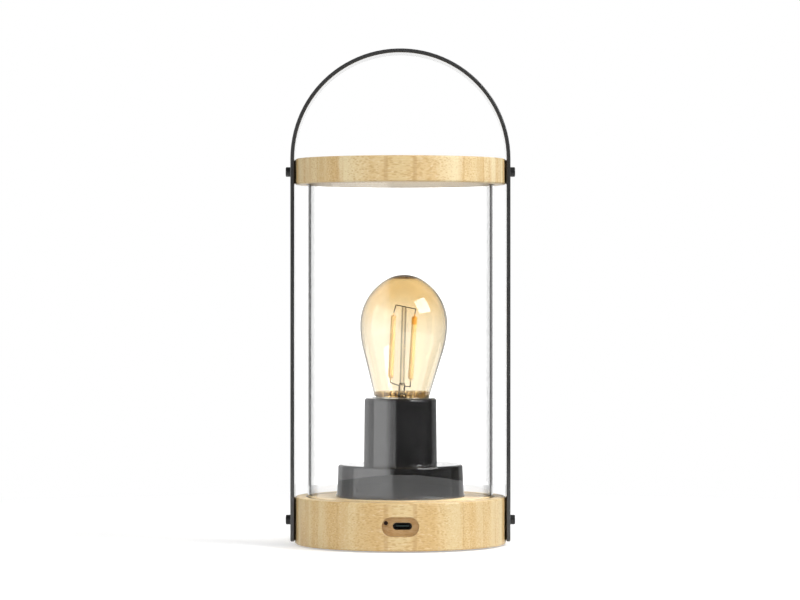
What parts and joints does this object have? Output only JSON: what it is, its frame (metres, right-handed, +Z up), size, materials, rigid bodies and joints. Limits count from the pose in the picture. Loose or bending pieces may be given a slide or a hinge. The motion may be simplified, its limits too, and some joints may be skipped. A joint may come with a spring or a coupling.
{
  "type": "lantern table lamp",
  "caption": "Rechargeable lantern lamp: bamboo base and lid, clear glass tube, flat black strap handle, black ceramic holder and an amber pear-shaped filament bulb.",
  "frame": {"origin": "middle of the plane that the rubber feet stand on", "axes": "+Z up along the lamp's axis, -Y towards the front with the charging recess, +X to the viewer's right"},
  "size_m": [0.1174, 0.108, 0.2533],
  "materials": {
    "bamboo": "smooth, laminated strips, sealed",
    "clear_glass": "clear",
    "soft_ring": "soft, matt",
    "black_steel": "satin black coating",
    "black_screws": "black coating",
    "brass_inserts": "plain",
    "cover_plastic": "fine grain",
    "steel_screws": "plain zinc",
    "foot_rubber": "matt",
    "board": "solder mask",
    "board_parts": "moulded",
    "socket_steel": "bright stainless",
    "socket_tongue": "moulded",
    "light_pipe": "clear moulded",
    "switch_case": "moulded",
    "button_plastic": "fine grain",
    "battery_wrap": "laminate pouch",
    "black_ceramic": "gloss black glaze",
    "contact_metal": "plain",
    "amber_glass": "amber tinted, clear",
    "bulb_cap_metal": "nickel plated",
    "cap_glass": "black glass",
    "stem_glass": "clear",
    "filament_coat": "yellow coating",
    "support_wire": "bare wire",
    "lead_cover": "soft insulation"
  },
  "bodies": {
    "lamp": {"base_body": "bamboo", "top_disc": "bamboo", "glass_tube": "clear_glass", "lower_glass_ring": "soft_ring", "upper_glass_ring": "soft_ring", "strap_handle": "black_steel", "strap_screws": "black_screws", "threaded_inserts": "brass_inserts", "base_cover": "cover_plastic", "cover_screws": "steel_screws", "rubber_feet": "foot_rubber", "circuit_board": "board", "board_screws": "steel_screws", "board_components": "board_parts", "usb_c_shell": "socket_steel", "usb_c_tongue": "socket_tongue", "indicator_light_pipe": "light_pipe", "power_switch": "switch_case", "battery_pack": "battery_wrap", "lamp_holder": "black_ceramic", "holder_screw_shell": "contact_metal", "holder_centre_contact": "contact_metal", "holder_terminals": "contact_metal", "holder_screws": "steel_screws", "battery_leads": "lead_cover", "lamp_leads": "lead_cover"},
    "button": {"power_button": "button_plastic", "switch_plunger": "button_plastic"},
    "bulb_end": {"bulb_insulator": "cap_glass", "bulb_end_contact": "contact_metal"},
    "bulb": {"bulb_glass": "amber_glass", "bulb_cap": "bulb_cap_metal", "bulb_stem": "stem_glass", "bulb_filaments": "filament_coat", "bulb_wires": "support_wire"}
  },
  "joints": [
    {"name": "button_press", "type": "slide", "parent": "lamp", "child": "button", "axis": [0, 0, 1], "range_m": [0, 0.0008], "stiffness_N_per_m": 600},
    {"name": "bulb_rise", "type": "slide", "parent": "lamp", "child": "bulb_end", "axis": [0.0297, 0, 0.9996], "range_m": [0, 0.0164]},
    {"name": "bulb_turn", "type": "hinge", "parent": "bulb_end", "child": "bulb", "pos_m": [0, 0, 0.0553], "axis": [0.0297, 0, 0.9996], "range_deg": [0, 1620]}
  ],
  "couplings": [
    {"joint": "bulb_rise", "follows": "bulb_turn", "m_per_rad": 0.0005775}
  ]
}
